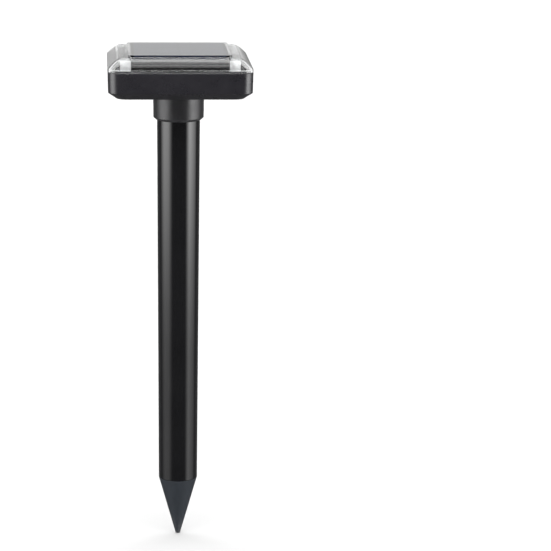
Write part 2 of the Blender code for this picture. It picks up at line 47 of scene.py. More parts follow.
# ---------------------------------------------------------------- node material helpers
class Mat:
    """A Principled material with object-space procedural detail."""

    def __init__(self, name, color, rough, metal=0.0, **plain):
        self.mat = bpy.data.materials.new(name)
        self.mat.use_nodes = True
        self.nt = self.mat.node_tree
        self.bsdf = self.nt.nodes["Principled BSDF"]
        self.bsdf.inputs["Base Color"].default_value = (*color, 1.0)
        self.bsdf.inputs["Roughness"].default_value = rough
        self.bsdf.inputs["Metallic"].default_value = metal
        for key, value in plain.items():
            self.bsdf.inputs[key.replace("_", " ")].default_value = value
        coord = self.node("ShaderNodeTexCoord")
        self.coord = coord.outputs["Object"]
        self._normal = None

    def node(self, kind, **props):
        n = self.nt.nodes.new(kind)
        for key, value in props.items():
            setattr(n, key, value)
        return n

    def link(self, a, b):
        self.nt.links.new(a, b)

    def mapped(self, scale=(1, 1, 1), turn=(0, 0, 0)):
        m = self.node("ShaderNodeMapping")
        m.inputs["Scale"].default_value = scale
        m.inputs["Rotation"].default_value = turn
        self.link(self.coord, m.inputs["Vector"])
        return m.outputs["Vector"]

    def noise(self, scale, detail=3.0, rough=0.5, stretch=(1, 1, 1), distortion=0.0):
        n = self.node("ShaderNodeTexNoise")
        n.inputs["Scale"].default_value = scale
        n.inputs["Detail"].default_value = detail
        n.inputs["Roughness"].default_value = rough
        n.inputs["Distortion"].default_value = distortion
        self.link(self.mapped(stretch), n.inputs["Vector"])
        return n.outputs["Fac"]

    def voronoi(self, scale, feature="F1", stretch=(1, 1, 1), randomness=1.0):
        n = self.node("ShaderNodeTexVoronoi", feature=feature)
        n.inputs["Scale"].default_value = scale
        n.inputs["Randomness"].default_value = randomness
        self.link(self.mapped(stretch), n.inputs["Vector"])
        return n.outputs["Distance"]

    def ramp(self, fac, lo, hi, a=0.0, b=1.0, smooth=True):
        n = self.node("ShaderNodeMapRange")
        n.interpolation_type = "SMOOTHSTEP" if smooth else "LINEAR"
        n.inputs["From Min"].default_value = lo
        n.inputs["From Max"].default_value = hi
        n.inputs["To Min"].default_value = a
        n.inputs["To Max"].default_value = b
        self.link(fac, n.inputs["Value"])
        return n.outputs["Result"]

    def math(self, op, a, b=None, clamp=False):
        n = self.node("ShaderNodeMath", operation=op, use_clamp=clamp)
        for i, v in enumerate((a, b)):
            if v is None:
                continue
            if isinstance(v, (int, float)):
                n.inputs[i].default_value = v
            else:
                self.link(v, n.inputs[i])
        return n.outputs[0]

    def axis(self, which):
        n = self.node("ShaderNodeSeparateXYZ")
        self.link(self.coord, n.inputs[0])
        return n.outputs[which]

    def mix(self, fac, a, b):
        n = self.node("ShaderNodeMix", data_type="RGBA")
        self.link(fac, n.inputs["Factor"]) if not isinstance(fac, float) else None
        for sock, v in ((n.inputs[6], a), (n.inputs[7], b)):
            if isinstance(v, tuple):
                sock.default_value = (*v, 1.0)
            else:
                self.link(v, sock)
        return n.outputs[2]

    def color(self, socket):
        self.link(socket, self.bsdf.inputs["Base Color"])
        return self

    def rough(self, socket):
        self.link(socket, self.bsdf.inputs["Roughness"])
        return self

    def bump(self, height, distance, strength=1.0):
        n = self.node("ShaderNodeBump")
        n.inputs["Strength"].default_value = strength
        n.inputs["Distance"].default_value = distance
        self.link(height, n.inputs["Height"])
        if self._normal is not None:
            self.link(self._normal, n.inputs["Normal"])
        self._normal = n.outputs["Normal"]
        self.link(self._normal, self.bsdf.inputs["Normal"])
        return self


# ---------------------------------------------------------------- mesh helpers
def piece(name, bm, mat, body, node=None, sharp=30.0, weighted=True):
    mesh = bpy.data.meshes.new(name)
    bmesh.ops.recalc_face_normals(bm, faces=bm.faces[:])
    bm.to_mesh(mesh)
    bm.free()
    obj = bpy.data.objects.new(name, mesh)
    pieces.objects.link(obj)
    finish_mesh(obj, mat, sharp, weighted)
    return settle(obj, body, node)


def finish_mesh(obj, mat, sharp=30.0, weighted=True):
    obj.data.shade_smooth()
    obj.data.set_sharp_from_angle(angle=math.radians(sharp))
    obj.data.materials.clear()
    obj.data.materials.append(mat.mat if isinstance(mat, Mat) else mat)
    if weighted:
        mod = obj.modifiers.new("weighted", "WEIGHTED_NORMAL")
        mod.keep_sharp = True
        mod.weight = 80


def settle(obj, body, node=None):
    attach(obj, body)
    if node:
        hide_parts(*([node] if isinstance(node, str) else node))
    return obj


def lathe(profile, steps=128, at=(0, 0, 0), axis="Z"):
    """Closed or axis-to-axis (r, z) profile in mm, turned into a bmesh with shared vertices."""
    bm = bmesh.new()
    rings = []
    for r, z in profile:
        if r < 1e-6:
            rings.append([bm.verts.new((0, 0, z * MM))])
        else:
            rings.append([bm.verts.new((r * MM * math.cos(2 * math.pi * k / steps),
                                        r * MM * math.sin(2 * math.pi * k / steps), z * MM))
                          for k in range(steps)])
    pairs = list(zip(rings, rings[1:]))
    if len(rings[0]) > 1 and len(rings[-1]) > 1:
        pairs.append((rings[-1], rings[0]))
    for a, b in pairs:
        for k in range(steps):
            j = (k + 1) % steps
            if len(a) == 1 and len(b) == 1:
                continue
            if len(a) == 1:
                bm.faces.new((a[0], b[k], b[j]))
            elif len(b) == 1:
                bm.faces.new((a[k], a[j], b[0]))
            else:
                bm.faces.new((a[k], a[j], b[j], b[k]))
    if axis == "X":
        bmesh.ops.rotate(bm, cent=(0, 0, 0), matrix=Matrix.Rotation(math.radians(90), 3, "Y"), verts=bm.verts[:])
    bmesh.ops.translate(bm, vec=Vector(at) * MM, verts=bm.verts[:])
    return bm


def arc(cx, cz, r, a0, a1, n):
    """Points on an arc in the (r, z) plane, angles in degrees."""
    return [(cx + r * math.cos(math.radians(a0 + (a1 - a0) * k / n)),
             cz + r * math.sin(math.radians(a0 + (a1 - a0) * k / n))) for k in range(n + 1)]


def fillet(points, radii, n=4, closed=False):
    """Rounds the corners of a polyline. radii gives one radius for each point (0 keeps it sharp)."""
    out = []
    count = len(points)
    for i, p in enumerate(points):
        r = radii[i] if isinstance(radii, (list, tuple)) else radii
        if r <= 0 or (not closed and i in (0, count - 1)):
            out.append(p)
            continue
        a, b, c = Vector(points[i - 1]), Vector(p), Vector(points[(i + 1) % count])
        u, v = (a - b).normalized(), (c - b).normalized()
        angle = u.angle(v)
        if angle > math.radians(179):
            out.append(p)
            continue
        reach = min(r / math.tan(angle / 2), (a - b).length * 0.49, (c - b).length * 0.49)
        radius = reach * math.tan(angle / 2)
        mid = b + (u + v).normalized() * (radius / math.sin(angle / 2))
        start, end = b + u * reach, b + v * reach
        a0 = math.atan2(start.y - mid.y, start.x - mid.x)
        a1 = math.atan2(end.y - mid.y, end.x - mid.x)
        d = a1 - a0
        while d > math.pi:
            d -= 2 * math.pi
        while d < -math.pi:
            d += 2 * math.pi
        for k in range(n + 1):
            t = a0 + d * k / n
            out.append((mid.x + radius * math.cos(t), mid.y + radius * math.sin(t)))
    return out


def square_ring(bm, half, corner, z, seg=10, side=6, at=(0, 0)):
    """A rounded square of vertices, anticlockwise from above."""
    corner = max(corner, 0.02)
    pts = []
    for cx, cy, a0 in ((1, -1, -90), (1, 1, 0), (-1, 1, 90), (-1, -1, 180)):
        ox, oy = cx * (half - corner), cy * (half - corner)
        corner_pts = []
        for k in range(seg + 1):
            t = math.radians(a0 + 90 * k / seg)
            corner_pts.append((ox + corner * math.cos(t), oy + corner * math.sin(t)))
        if pts:
            p, q = pts[-1], corner_pts[0]
            for k in range(1, side):
                f = k / side
                pts.append((p[0] + (q[0] - p[0]) * f, p[1] + (q[1] - p[1]) * f))
        pts.extend(corner_pts)
    p, q = pts[-1], pts[0]
    for k in range(1, side):
        f = k / side
        pts.append((p[0] + (q[0] - p[0]) * f, p[1] + (q[1] - p[1]) * f))
    return [bm.verts.new(((x + at[0]) * MM, (y + at[1]) * MM, z * MM)) for x, y in pts]


def loft_squares(profile, corner_of, seg=10, side=6, cap_first=False, cap_last=False, closed=False, at=(0, 0)):
    """A body from rounded squares: profile is a list of (half width, z), corner_of gives the corner radius."""
    bm = bmesh.new()
    rings = [square_ring(bm, h, corner_of(h, z), z, seg, side, at) for h, z in profile]
    pairs = list(zip(rings, rings[1:]))
    if closed:
        pairs.append((rings[-1], rings[0]))
    n = len(rings[0])
    for a, b in pairs:
        for k in range(n):
            j = (k + 1) % n
            bm.faces.new((a[k], a[j], b[j], b[k]))
    if cap_first:
        bm.faces.new(rings[0][::-1])
    if cap_last:
        bm.faces.new(rings[-1])
    return bm


def mesh_object(name, bm):
    mesh = bpy.data.meshes.new(name)
    bmesh.ops.recalc_face_normals(bm, faces=bm.faces[:])
    bm.to_mesh(mesh)
    bm.free()
    obj = bpy.data.objects.new(name, mesh)
    scene.collection.objects.link(obj)
    return obj


def sculpt(base, steps):
    """Runs booleans on base with temporary tools and returns the result as a bmesh: steps are (how, tool bmesh)."""
    tools = []
    for i, (how, tool_bm) in enumerate(steps):
        tool = mesh_object(f"tool_{i}", tool_bm)
        tools.append(tool)
        mod = base.modifiers.new(f"b{i}", "BOOLEAN")
        mod.operation = how
        mod.solver = "EXACT"
        mod.object = tool
    graph = bpy.context.evaluated_depsgraph_get()
    graph.update()
    result = bpy.data.meshes.new_from_object(base.evaluated_get(graph))
    bm = bmesh.new()
    bm.from_mesh(result)
    for obj in [*tools, base]:
        mesh = obj.data
        bpy.data.objects.remove(obj, do_unlink=True)
        bpy.data.meshes.remove(mesh)
    bpy.data.meshes.remove(result)
    bmesh.ops.remove_doubles(bm, verts=bm.verts[:], dist=1e-7)
    return bm


def rod(r, z0, z1, at=(0, 0), steps=48):
    return lathe([(0, z1), (r, z1), (r, z0), (0, z0)], steps=steps, at=(at[0], at[1], 0))


# ---------------------------------------------------------------- sizes shared with the CAD model (mm)
TUBE_Z0, TUBE_Z1, TUBE_R0, TUBE_R1, TUBE_WALL = 43.3, 323.0, 13.8, 15.1, 1.8
SPIKE_H, TIP_R, SPIGOT_H = 43.0, 1.6, 22.0
COLLAR_Z0, COLLAR_R0, COLLAR_R1, BORE_R, STOP_Z = 304.6, 17.6, 17.8, 15.42, 323.3
SPIGOT_R, SPIGOT_HOLE_R, SPIGOT_TOP = 16.0, 12.0, 329.6
BASE_Z0, CHAMFER_Z, BASE_Z1 = 324.9, 329.4, 343.5
BOT_HALF, MID_HALF, HEAD_HALF, HEAD_R = 43.45, 49.2, 49.5, 8.0
WALL, FLOOR = 2.2, 2.2
DECK_HALF, DECK_Z0, DECK_Z1, BOX_HALF, BOX_Z1 = 46.9, 342.0, 343.5, 33.1, 349.6
COVER_Z0, COVER_Z1, COVER_Z2, COVER_Z3 = 343.8, 345.6, 352.0, 354.0
HALF2, HALF3, R3 = 42.0, 35.3, 2.5
POST_XY, POST_R = 37.3, 3.7
SCREW_HEAD_R, SCREW_SHAFT_R, SEAT = 2.7, 1.3, 333.7
BUTTON_X, BUTTON_Y, BUTTON_R = 27.0, -25.0, 4.2
PANEL_Z0, PANEL_HALF = 350.55, 33.2
CORNERS = ((1, -1), (1, 1), (-1, 1), (-1, -1))


# ---------------------------------------------------------------- materials
def base_plastic():
    """Black ABS with the fine spark-eroded grain of a moulded housing."""
    m = Mat("housing_textured_abs", (0.012, 0.012, 0.0137), 0.3, Specular_IOR_Level=0.75)
    grain = m.noise(2600, 2.0, 0.6)
    pits = m.voronoi(1900)
    cloud = m.noise(45, 3.0, 0.55)
    wear = m.noise(170, 4.0, 0.6)
    m.color(m.mix(m.ramp(cloud, 0.3, 0.7), (0.0090, 0.0084, 0.0113), (0.0118, 0.0111, 0.0143)))
    m.rough(m.math("ADD", m.ramp(wear, 0.3, 0.75, 0.24, 0.31), m.math("MULTIPLY", grain, 0.05)))
    m.bump(pits, 0.00008, 0.4)
    m.bump(grain, 0.00005, 0.4)
    return m


def underside_plastic():
    """The plain underside of the housing: the same plastic with a dull, coarser texture."""
    m = Mat("housing_underside_abs", (0.012, 0.012, 0.0137), 0.75, Specular_IOR_Level=0.0)
    grain = m.noise(900, 3.0, 0.6)
    m.color(m.mix(m.ramp(grain, 0.3, 0.75), (0.0180, 0.0174, 0.0210), (0.0250, 0.0242, 0.0285)))
    m.bump(grain, 0.00008, 0.5)
    return m


def collar_plastic():
    """The same black resin off a smoother tool: satin, with faint turning marks."""
    m = Mat("collar_satin_abs", (0.0105, 0.0105, 0.012), 0.3, Specular_IOR_Level=0.5)
    rings = m.noise(60, 2.0, 0.5, stretch=(1, 1, 40))
    grain = m.noise(2400, 2.0, 0.6)
    wear = m.noise(120, 3.0, 0.6)
    m.color(m.mix(m.ramp(wear, 0.35, 0.7), (0.0216, 0.0212, 0.0235), (0.0252, 0.0248, 0.0272)))
    m.rough(m.math("ADD", m.ramp(wear, 0.3, 0.7, 0.27, 0.34), m.math("MULTIPLY", rings, 0.04)))
    m.bump(grain, 0.00004, 0.4)
    m.bump(rings, 0.00003, 0.25)
    return m


def tube_plastic():
    """Glossy extruded black tube: faint draw lines along it, fine handling scratches."""
    m = Mat("tube_gloss_black", (0.0045, 0.0045, 0.0050), 0.12, Specular_IOR_Level=0.5)
    draw = m.noise(220, 2.0, 0.5, stretch=(1, 1, 0.02))
    scuff = m.noise(900, 4.0, 0.7, stretch=(1, 1, 0.12))
    cloud = m.noise(30, 3.0, 0.5)
    m.color(m.mix(m.ramp(cloud, 0.3, 0.7), (0.0040, 0.0040, 0.0046), (0.0052, 0.0052, 0.0059)))
    m.rough(m.math("ADD", m.ramp(scuff, 0.45, 0.8, 0.10, 0.17), m.math("MULTIPLY", cloud, 0.02)))
    m.bump(draw, 0.00004, 0.18)
    m.bump(scuff, 0.00001, 0.15)
    return m


def spike_plastic():
    """Matt blue-black moulded cone, slightly greyer in streaks towards the blunt end."""
    m = Mat("spike_matt_nylon", (0.014, 0.0165, 0.0205), 0.62, Specular_IOR_Level=0.28)
    z = m.axis("Z")
    grain = m.noise(2200, 3.0, 0.6)
    drag = m.noise(420, 4.0, 0.65, stretch=(1, 1, 0.18))
    tip = m.ramp(z, 0.0, 0.016, 1.0, 0.0)
    tip_grey_streaks = m.math("MULTIPLY", m.ramp(drag, 0.35, 0.7), tip)
    body = m.mix(m.ramp(drag, 0.3, 0.75), (0.0149, 0.0185, 0.0238), (0.0196, 0.0242, 0.0306))
    m.color(m.mix(tip_grey_streaks, body, (0.055, 0.058, 0.062)))
    m.rough(m.ramp(drag, 0.25, 0.8, 0.58, 0.70))
    m.bump(grain, 0.00008, 0.5)
    m.bump(drag, 0.00006, 0.25)
    return m


def clear_plastic():
    """Clear polycarbonate: polished, with a trace of haze and a few hairline scratches."""
    m = Mat("cover_clear_pc", (0.985, 0.99, 0.99), 0.0, Transmission_Weight=1.0, IOR=1.5)
    haze = m.noise(40, 3.0, 0.6)
    hair = m.noise(500, 3.0, 0.7, stretch=(1, 0.06, 1))
    m.rough(m.math("ADD", m.ramp(haze, 0.55, 0.85, 0.0, 0.012), m.ramp(hair, 0.68, 0.8, 0.0, 0.02)))
    m.color(m.mix(m.ramp(haze, 0.3, 0.8), (0.985, 0.99, 0.99), (0.965, 0.975, 0.975)))
    m.bump(hair, 0.000002, 0.05)
    return m


def frosted_with_painted_highlight():
    """The same resin off a sparked tool face, coloured milky white: a painted highlight for the side light that the
    clear posts catch and refract.
    """
    m = Mat("post_frosted_painted_highlight", (0.93, 0.935, 0.94), 0.5, Transmission_Weight=0.2, IOR=1.5)
    grain = m.noise(1500, 3.0, 0.6)
    cloud = m.noise(260, 3.0, 0.6)
    m.rough(m.ramp(cloud, 0.3, 0.7, 0.42, 0.62))
    m.color(m.mix(m.ramp(cloud, 0.35, 0.7), (0.95, 0.955, 0.96), (0.88, 0.885, 0.89)))
    m.bump(grain, 0.00003, 0.4)
    return m


def plain(name, a, b, rough, scale=180, metal=0.0, grain=0.00004, **kw):
    """A moulded or rolled surface with its own cloudiness, grain and uneven gloss."""
    m = Mat(name, a, rough, metal, **kw)
    cloud = m.noise(scale, 4.0, 0.6)
    fine = m.noise(scale * 12, 2.0, 0.6)
    m.color(m.mix(m.ramp(cloud, 0.3, 0.7), a, b))
    m.rough(m.math("ADD", m.ramp(cloud, 0.25, 0.75, max(rough - 0.05, 0.03), rough + 0.05), m.math("MULTIPLY", fine, 0.05)))
    m.bump(fine, grain, 0.5)
    return m


def cell_material():
    """Blue-black silicon with hair-thin silver fingers; the resin over it is the window itself."""
    m = Mat("cells_silicon", (0.006, 0.009, 0.024), 0.5, Specular_IOR_Level=0.0)
    x = m.axis("X")
    finger = m.math("PINGPONG", m.math("MULTIPLY", x, 1000.0), 0.9)
    line = m.ramp(finger, 0.0, 0.10, 1.0, 0.0)
    crystal = m.voronoi(260)
    blue = m.mix(m.ramp(crystal, 0.1, 0.6), (0.0045, 0.0065, 0.019), (0.009, 0.014, 0.036))
    m.color(m.mix(line, blue, (0.16, 0.17, 0.19)))
    m.rough(m.ramp(crystal, 0.1, 0.6, 0.45, 0.6))
    m.bump(line, 0.00002, 0.4)
    return m


base_mat = base_plastic()
underside_mat = underside_plastic()
collar_mat = collar_plastic()
tube_mat = tube_plastic()
spike_mat = spike_plastic()
clear_mat = clear_plastic()
frost_highlight_mat = frosted_with_painted_highlight()
cell_mat = cell_material()
inner_mat = plain("inner_black_abs", (0.010, 0.010, 0.011), (0.015, 0.015, 0.0165), 0.36)
deck_mat = plain("deck_black_abs", (0.005, 0.005, 0.0055), (0.008, 0.008, 0.0088), 0.55, scale=90, Specular_IOR_Level=0.2)
seal_mat = plain("seal_silicone_grey", (0.035, 0.035, 0.037), (0.055, 0.055, 0.058), 0.55, scale=300, grain=0.00003)
button_mat = plain("button_rubber", (0.014, 0.014, 0.015), (0.022, 0.022, 0.023), 0.62, scale=260, grain=0.00006)
foam_mat = plain("foam_tape", (0.03, 0.03, 0.03), (0.055, 0.055, 0.055), 0.9, scale=700, grain=0.0002)
backsheet_mat = plain("panel_backsheet", (0.004, 0.004, 0.006), (0.006, 0.006, 0.009), 0.5, scale=120,
                      Specular_IOR_Level=0.0)
ribbon_mat = plain("tinned_ribbon", (0.30, 0.31, 0.32), (0.40, 0.40, 0.41), 0.4, metal=1.0, scale=400)
zinc_mat = plain("zinc_plated", (0.50, 0.50, 0.49), (0.62, 0.61, 0.58), 0.32, metal=1.0, scale=500)
nickel_mat = plain("nickel_plated", (0.60, 0.58, 0.54), (0.70, 0.68, 0.64), 0.25, metal=1.0, scale=400)
brass_mat = plain("rolled_brass", (0.62, 0.42, 0.13), (0.74, 0.53, 0.19), 0.3, metal=1.0, scale=300)
ceramic_mat = plain("silvered_ceramic", (0.66, 0.65, 0.62), (0.76, 0.75, 0.71), 0.45, scale=320)
copper_mat = plain("enamelled_copper", (0.50, 0.20, 0.07), (0.62, 0.28, 0.11), 0.3, metal=0.9, scale=900)
can_mat = plain("capacitor_sleeve", (0.03, 0.04, 0.10), (0.05, 0.06, 0.13), 0.3)
diode_mat = plain("diode_glass_body", (0.38, 0.07, 0.03), (0.48, 0.10, 0.04), 0.12, scale=500)
chip_mat = plain("chip_epoxy_black", (0.016, 0.016, 0.016), (0.025, 0.025, 0.025), 0.55, scale=900, grain=0.00008)
board_mat = plain("board_solder_mask", (0.010, 0.085, 0.030), (0.014, 0.12, 0.045), 0.35, scale=380)
sleeve_mat = plain("cell_shrink_sleeve", (0.03, 0.15, 0.06), (0.05, 0.20, 0.08), 0.28, scale=120)
red_mat = plain("lead_red", (0.42, 0.016, 0.012), (0.52, 0.03, 0.02), 0.42, scale=500)
black_mat = plain("lead_black", (0.010, 0.010, 0.010), (0.018, 0.018, 0.018), 0.42, scale=500)


# ---------------------------------------------------------------- the stake
outer = [(TUBE_R1 - TUBE_WALL, TUBE_Z1), (TUBE_R1, TUBE_Z1), (TUBE_R0, TUBE_Z0), (TUBE_R0 - TUBE_WALL, TUBE_Z0)]
piece("stake_tube_fine", lathe(fillet(outer, [0.3, 0.5, 0.18, 0.15], n=3, closed=True), steps=160),
      tube_mat, "stake", "stake_tube", sharp=40)

spig = TUBE_R0 - TUBE_WALL - 0.3
outer = [(0, 12.5), (3.2, 15.0), (spig - 2.4, SPIKE_H - 2.0), (spig - 2.0, SPIKE_H + SPIGOT_H), (spig, SPIKE_H + SPIGOT_H),
         (spig, SPIKE_H), (TUBE_R0, SPIKE_H), (TIP_R + 0.05, 0.0), (0, 0)]
piece("spike_tip_fine", lathe(fillet(outer, [0, 0.8, 1.0, 0.3, 0.8, 0.1, 0.3, 0.55, 0], n=4), steps=160),
      spike_mat, "stake", "spike_tip", sharp=40)

# ---------------------------------------------------------------- the head
outer = [(SPIGOT_HOLE_R, SPIGOT_TOP), (SPIGOT_R, SPIGOT_TOP), (SPIGOT_R, BASE_Z0 - 0.3), (COLLAR_R1, BASE_Z0 - 0.3),
         (COLLAR_R0, COLLAR_Z0 + 1.7), (COLLAR_R0 - 2.0, COLLAR_Z0), (BORE_R, COLLAR_Z0), (BORE_R, STOP_Z),
         (SPIGOT_HOLE_R, STOP_Z)]
piece("neck_collar_fine", lathe(fillet(outer, [0.3, 0.4, 0, 0.15, 0.5, 0.12, 0.08, 0.1, 0.2], n=4, closed=True), steps=160),
      collar_mat, "head", "neck_collar", sharp=40)


def base_corner(half, z):
    return 7.1 * half / BOT_HALF


def make_base():
    outer = [(20.0, BASE_Z0), (BOT_HALF, BASE_Z0), (MID_HALF, CHAMFER_Z), (HEAD_HALF, BASE_Z1),
             (HEAD_HALF - WALL, BASE_Z1), (MID_HALF - WALL, CHAMFER_Z + 0.6), (BOT_HALF - 1.2, BASE_Z0 + FLOOR),
             (20.0, BASE_Z0 + FLOOR)]
    rounded = fillet(outer, [0, 0.35, 0.6, 0.25, 0.2, 0.8, 0.6, 0], n=4)
    bm = loft_squares(rounded, base_corner, seg=10, side=1, cap_first=True, cap_last=True)
    base = mesh_object("base_work", bm)
    steps = []
    for sx, sy in CORNERS:
        at = (sx * POST_XY, sy * POST_XY)
        steps.append(("UNION", rod(5.2, BASE_Z0 + 1.0, DECK_Z0 - 0.3, at, 40)))
    for sx, sy in CORNERS:
        at = (sx * POST_XY, sy * POST_XY)
        steps.append(("DIFFERENCE", rod(SCREW_SHAFT_R + 0.35, BASE_Z0 - 2, DECK_Z0 + 1, at, 24)))
        mouth = [(0, 334.0), (SCREW_HEAD_R + 0.5, 334.0), (SCREW_HEAD_R + 0.5, BASE_Z0 + 0.35),
                 (SCREW_HEAD_R + 0.85, BASE_Z0), (SCREW_HEAD_R + 0.85, BASE_Z0 - 2), (0, BASE_Z0 - 2)]
        steps.append(("DIFFERENCE", lathe(mouth, 40, (at[0], at[1], 0))))
    steps.append(("DIFFERENCE", rod(SPIGOT_R + 0.3, BASE_Z0 - 3, BASE_Z0 + 8, (0, 0), 96)))
    mouth = [(0, BASE_Z0 + 6), (BUTTON_R + 0.35, BASE_Z0 + 6), (BUTTON_R + 0.35, BASE_Z0 + 0.4),
             (BUTTON_R + 0.8, BASE_Z0), (BUTTON_R + 0.8, BASE_Z0 - 3), (0, BASE_Z0 - 3)]
    steps.append(("DIFFERENCE", lathe(mouth, 64, (BUTTON_X, BUTTON_Y, 0))))
    return sculpt(base, steps)


base = piece("head_base_fine", make_base(), base_mat, "head", "head_base", sharp=35)
base.data.materials.append(underside_mat.mat)
for face in base.data.polygons:
    if face.normal.z < -0.95 and face.center.z / MM < BASE_Z0 + 0.3:
        face.material_index = 1


WALL_C = 1.7


def cover_corner(half, z):
    """Corner radius in plan at each level of the outer surface."""
    if half >= HALF2:
        return HEAD_R * half / HEAD_HALF
    flat = HEAD_R * HALF2 / HEAD_HALF
    return R3 + (flat - R3) * max(half - HALF3, 0.0) / (HALF2 - HALF3)


def inner_corner(half, z):
    if half > 41.0:
        return (HEAD_R - WALL_C) * half / (HEAD_HALF - WALL_C)
    return (R3 - WALL_C) + (5.4 - R3 + WALL_C) * max(half - HALF3 + WALL_C, 0.0) / (41.0 - HALF3 + WALL_C)


def bowed(a, b, sag, n):
    """Points strictly between a and b on a line bowed outwards by sag."""
    out = []
    for i in range(1, n):
        t = i / n
        push = sag * 4 * t * (1 - t) * math.sqrt(0.5)
        out.append((a[0] + (b[0] - a[0]) * t + push, a[1] + (b[1] - a[1]) * t + push))
    return out


def make_cover():
    """Upright foot, slightly bowed slope with a flatter strip at its top, nearly flat top, raised window."""
    foot, crest = (HEAD_HALF, COVER_Z1), (43.9, 350.9)
    slope = bowed(foot, crest, 0.24, 8)
    out = [(HEAD_HALF, COVER_Z0), foot] + slope + [crest, (HALF2, COVER_Z2), (HALF3, 352.5), (HALF3, COVER_Z3),
                                                  (20.0, COVER_Z3)]
    out = fillet(out, [0, 1.4] + [0] * len(slope) + [0, 0.5, 0.15, 0.12, 0], n=5)
    a = HALF3 - WALL_C
    inner_slope = bowed((42.88, 349.82), (47.8, 344.9), 0.21, 7)
    inn = [(20.0, COVER_Z3 - 1.5), (a, COVER_Z3 - 1.5), (a, 350.6), (41.5, 350.6), (42.88, 349.82)] + inner_slope + [
        (47.8, 344.9), (47.8, COVER_Z0)]
    inn = fillet(inn, [0, 0.15, 0.15, 0.4, 0] + [0] * len(inner_slope) + [0.5, 0], n=4)
    bm = bmesh.new()
    rings = [square_ring(bm, h, cover_corner(h, z), z, 10, 1) for h, z in out[::-1]]
    rings += [square_ring(bm, h, inner_corner(h, z), z, 10, 1) for h, z in inn[::-1]]
    n = len(rings[0])
    for r, q in zip(rings, rings[1:]):
        for k in range(n):
            j = (k + 1) % n
            bm.faces.new((r[k], r[j], q[j], q[k]))
    bm.faces.new(rings[0])
    bm.faces.new(rings[-1])
    cover = mesh_object("cover_work", bm)
    steps = [("UNION", rod(POST_R, DECK_Z0, COVER_Z2 - 1.0, (sx * POST_XY, sy * POST_XY), 48)) for sx, sy in CORNERS]
    steps += [("DIFFERENCE", rod(SCREW_SHAFT_R + 0.32, DECK_Z0 - 1, 347.4, (sx * POST_XY, sy * POST_XY), 24))
              for sx, sy in CORNERS]
    return sculpt(cover, steps)


cover = piece("clear_cover_fine", make_cover(), clear_mat, "head", "clear_cover", sharp=35)
# the corner posts get the milky white material: a painted highlight for the side light the clear posts refract
cover.data.materials.append(frost_highlight_mat.mat)
for face in cover.data.polygons:
    mid = face.center
    away = min(math.hypot(mid.x / MM - sx * POST_XY, mid.y / MM - sy * POST_XY) for sx, sy in CORNERS)
    if away < POST_R + 0.02 and mid.z / MM < 350.58:
        face.material_index = 1


# ---------------------------------------------------------------- solar panel, bonded to the underside of the window
BOND = COVER_Z3 - 1.5                # underside of the window plate


def slab(bm, cx, cy, hx, hy, z0, z1, corner=0.0):
    """A flat plate with cut corners."""
    c = corner
    outline = [(-hx + c, -hy), (hx - c, -hy), (hx, -hy + c), (hx, hy - c), (hx - c, hy), (-hx + c, hy),
               (-hx, hy - c), (-hx, -hy + c)] if c else [(-hx, -hy), (hx, -hy), (hx, hy), (-hx, hy)]
    low = [bm.verts.new(((cx + x) * MM, (cy + y) * MM, z0 * MM)) for x, y in outline]
    high = [bm.verts.new(((cx + x) * MM, (cy + y) * MM, z1 * MM)) for x, y in outline]
    bm.faces.new(low[::-1])
    bm.faces.new(high)
    n = len(outline)
    for i in range(n):
        j = (i + 1) % n
        bm.faces.new((low[i], low[j], high[j], high[i]))


bm = bmesh.new()
slab(bm, 0, 0, PANEL_HALF, PANEL_HALF, PANEL_Z0, BOND + 0.01, 0.8)
piece("solar_panel_back", bm, backsheet_mat, "head", "solar_panel", sharp=30)

COLS, ROWS = 2, 5
CELL_W, CELL_H = 31.1, 12.4
STEP_X, STEP_Y = 31.7, 12.8
bm = bmesh.new()
bm_r = bmesh.new()
for col in range(COLS):
    for row in range(ROWS):
        cx = (col - (COLS - 1) / 2) * STEP_X
        cy = (row - (ROWS - 1) / 2) * STEP_Y
        slab(bm, cx, cy, CELL_W / 2, CELL_H / 2, BOND - 0.2, BOND + 0.03, 0.5)
        for k in (-1, 1):
            slab(bm_r, cx - 0.2, cy + k * CELL_H / 4, CELL_W / 2 - 0.1, 0.35, BOND - 0.1, BOND + 0.045)
piece("solar_cells_row", bm, cell_mat, "head", None, sharp=30)
piece("solar_ribbons", bm_r, ribbon_mat, "head", None, sharp=30)

# ---------------------------------------------------------------- CAD pieces that keep their shape
CARRIED = {
    "tube_top_cap": inner_mat, "jack_socket": inner_mat, "jack_centre_pin": nickel_mat, "sounder_cup": inner_mat,
    "sounder_disc": brass_mat, "piezo_wafer": ceramic_mat, "sounder_foam": foam_mat,
    "sounder_lead_red": red_mat, "sounder_lead_black": black_mat, "panel_deck": deck_mat, "panel_tape": foam_mat,
    "cover_seal": seal_mat, "cover_screw_1": zinc_mat, "cover_screw_2": zinc_mat,
    "cover_screw_3": zinc_mat, "cover_screw_4": zinc_mat, "jack_plug_body": inner_mat,
    "jack_plug_barrel": nickel_mat, "jack_lead_red": red_mat, "jack_lead_black": black_mat,
    "circuit_board": board_mat, "driver_chip": chip_mat, "boost_coil": copper_mat,
    "storage_capacitor": can_mat, "charge_diode": diode_mat, "switch_body": chip_mat, "battery_holder": inner_mat,
    "battery_cell": sleeve_mat, "battery_contact": nickel_mat, "battery_spring": nickel_mat,
    "battery_lead_red": red_mat, "battery_lead_black": black_mat, "panel_lead_red": red_mat,
    "panel_lead_black": black_mat, "power_button": button_mat,
}
for name, mat in CARRIED.items():
    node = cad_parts[name]
    node.data.materials.clear()
    node.data.materials.append(mat.mat)


